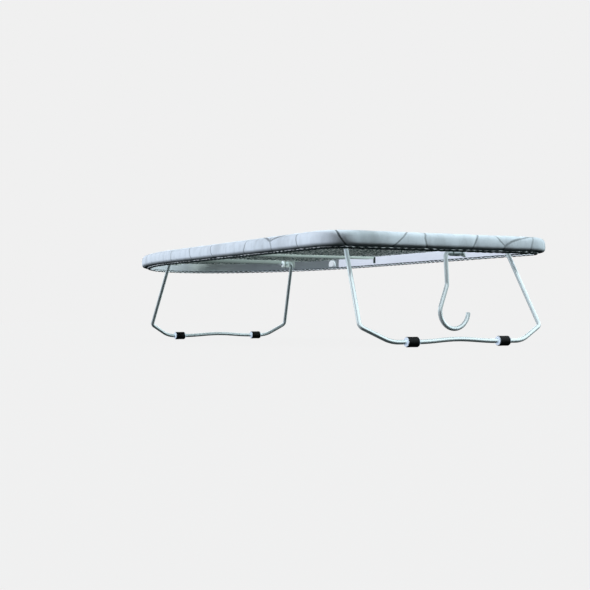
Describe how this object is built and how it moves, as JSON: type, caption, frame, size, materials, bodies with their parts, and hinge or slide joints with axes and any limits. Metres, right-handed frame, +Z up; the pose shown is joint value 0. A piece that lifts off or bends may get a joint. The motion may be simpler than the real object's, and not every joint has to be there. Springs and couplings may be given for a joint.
{
  "type": "tabletop ironing board",
  "caption": "Tabletop ironing board: padded fabric cover over a steel mesh deck with a rounded nose, two folding bent-wire legs on rubber feet and a swinging hanging hook.",
  "frame": {"origin": "bottom centre of the whole object's box, at the height the rubber feet stand on", "axes": "+X along the board to its rounded nose, +Y to its left side seen from the tail, +Z up"},
  "size_m": [0.7514, 0.318, 0.1276],
  "materials": {
    "cover_fabric": "woven cotton with a sparse dark branching line print",
    "pad_felt": "needle felt",
    "hem_cord": "elastic cord in a gathered hem",
    "mesh_steel": "dark grey-green painted expanded mesh",
    "rim_paint": "satin light grey paint",
    "rail_paint": "satin grey-green paint",
    "wire_paint": "glossy pale mint powder coat",
    "plated_steel": "bright zinc plate",
    "foot_rubber": "black rubber sleeve"
  },
  "bodies": {
    "board": {"cover": "cover_fabric", "foam_pad": "pad_felt", "hem_cord": "hem_cord", "mesh_deck": "mesh_steel", "rim_band": "rim_paint", "rim_clip": "plated_steel", "nose_rail": "rail_paint", "middle_rail": "rail_paint", "tail_rail": "rail_paint", "nose_bracket_left": "rail_paint", "nose_bracket_right": "rail_paint", "tail_bracket_left": "rail_paint", "tail_bracket_right": "rail_paint", "hook_bracket": "rail_paint"},
    "tail_leg": {"tail_leg": "wire_paint", "tail_foot_left": "foot_rubber", "tail_foot_right": "foot_rubber", "tail_ring_left": "plated_steel", "tail_ring_right": "plated_steel"},
    "nose_leg": {"nose_leg": "wire_paint", "nose_foot_left": "foot_rubber", "nose_foot_right": "foot_rubber", "nose_ring_left": "plated_steel", "nose_ring_right": "plated_steel"},
    "hook": {"hanging_hook": "wire_paint"}
  },
  "joints": [
    {"name": "tail_leg_fold", "type": "hinge", "parent": "board", "child": "tail_leg", "pos_m": [-0.31186, 0, 0.117], "axis": [0, -1, 0], "range_deg": [0, 116]},
    {"name": "nose_leg_fold", "type": "hinge", "parent": "board", "child": "nose_leg", "pos_m": [0.20414, 0, 0.117], "axis": [0, 1, 0], "range_deg": [0, 113.5]},
    {"name": "hook_swing", "type": "hinge", "parent": "board", "child": "hook", "pos_m": [-0.33476, 0, 0.106], "axis": [0, 1, 0], "range_deg": [-85, 65]}
  ]
}
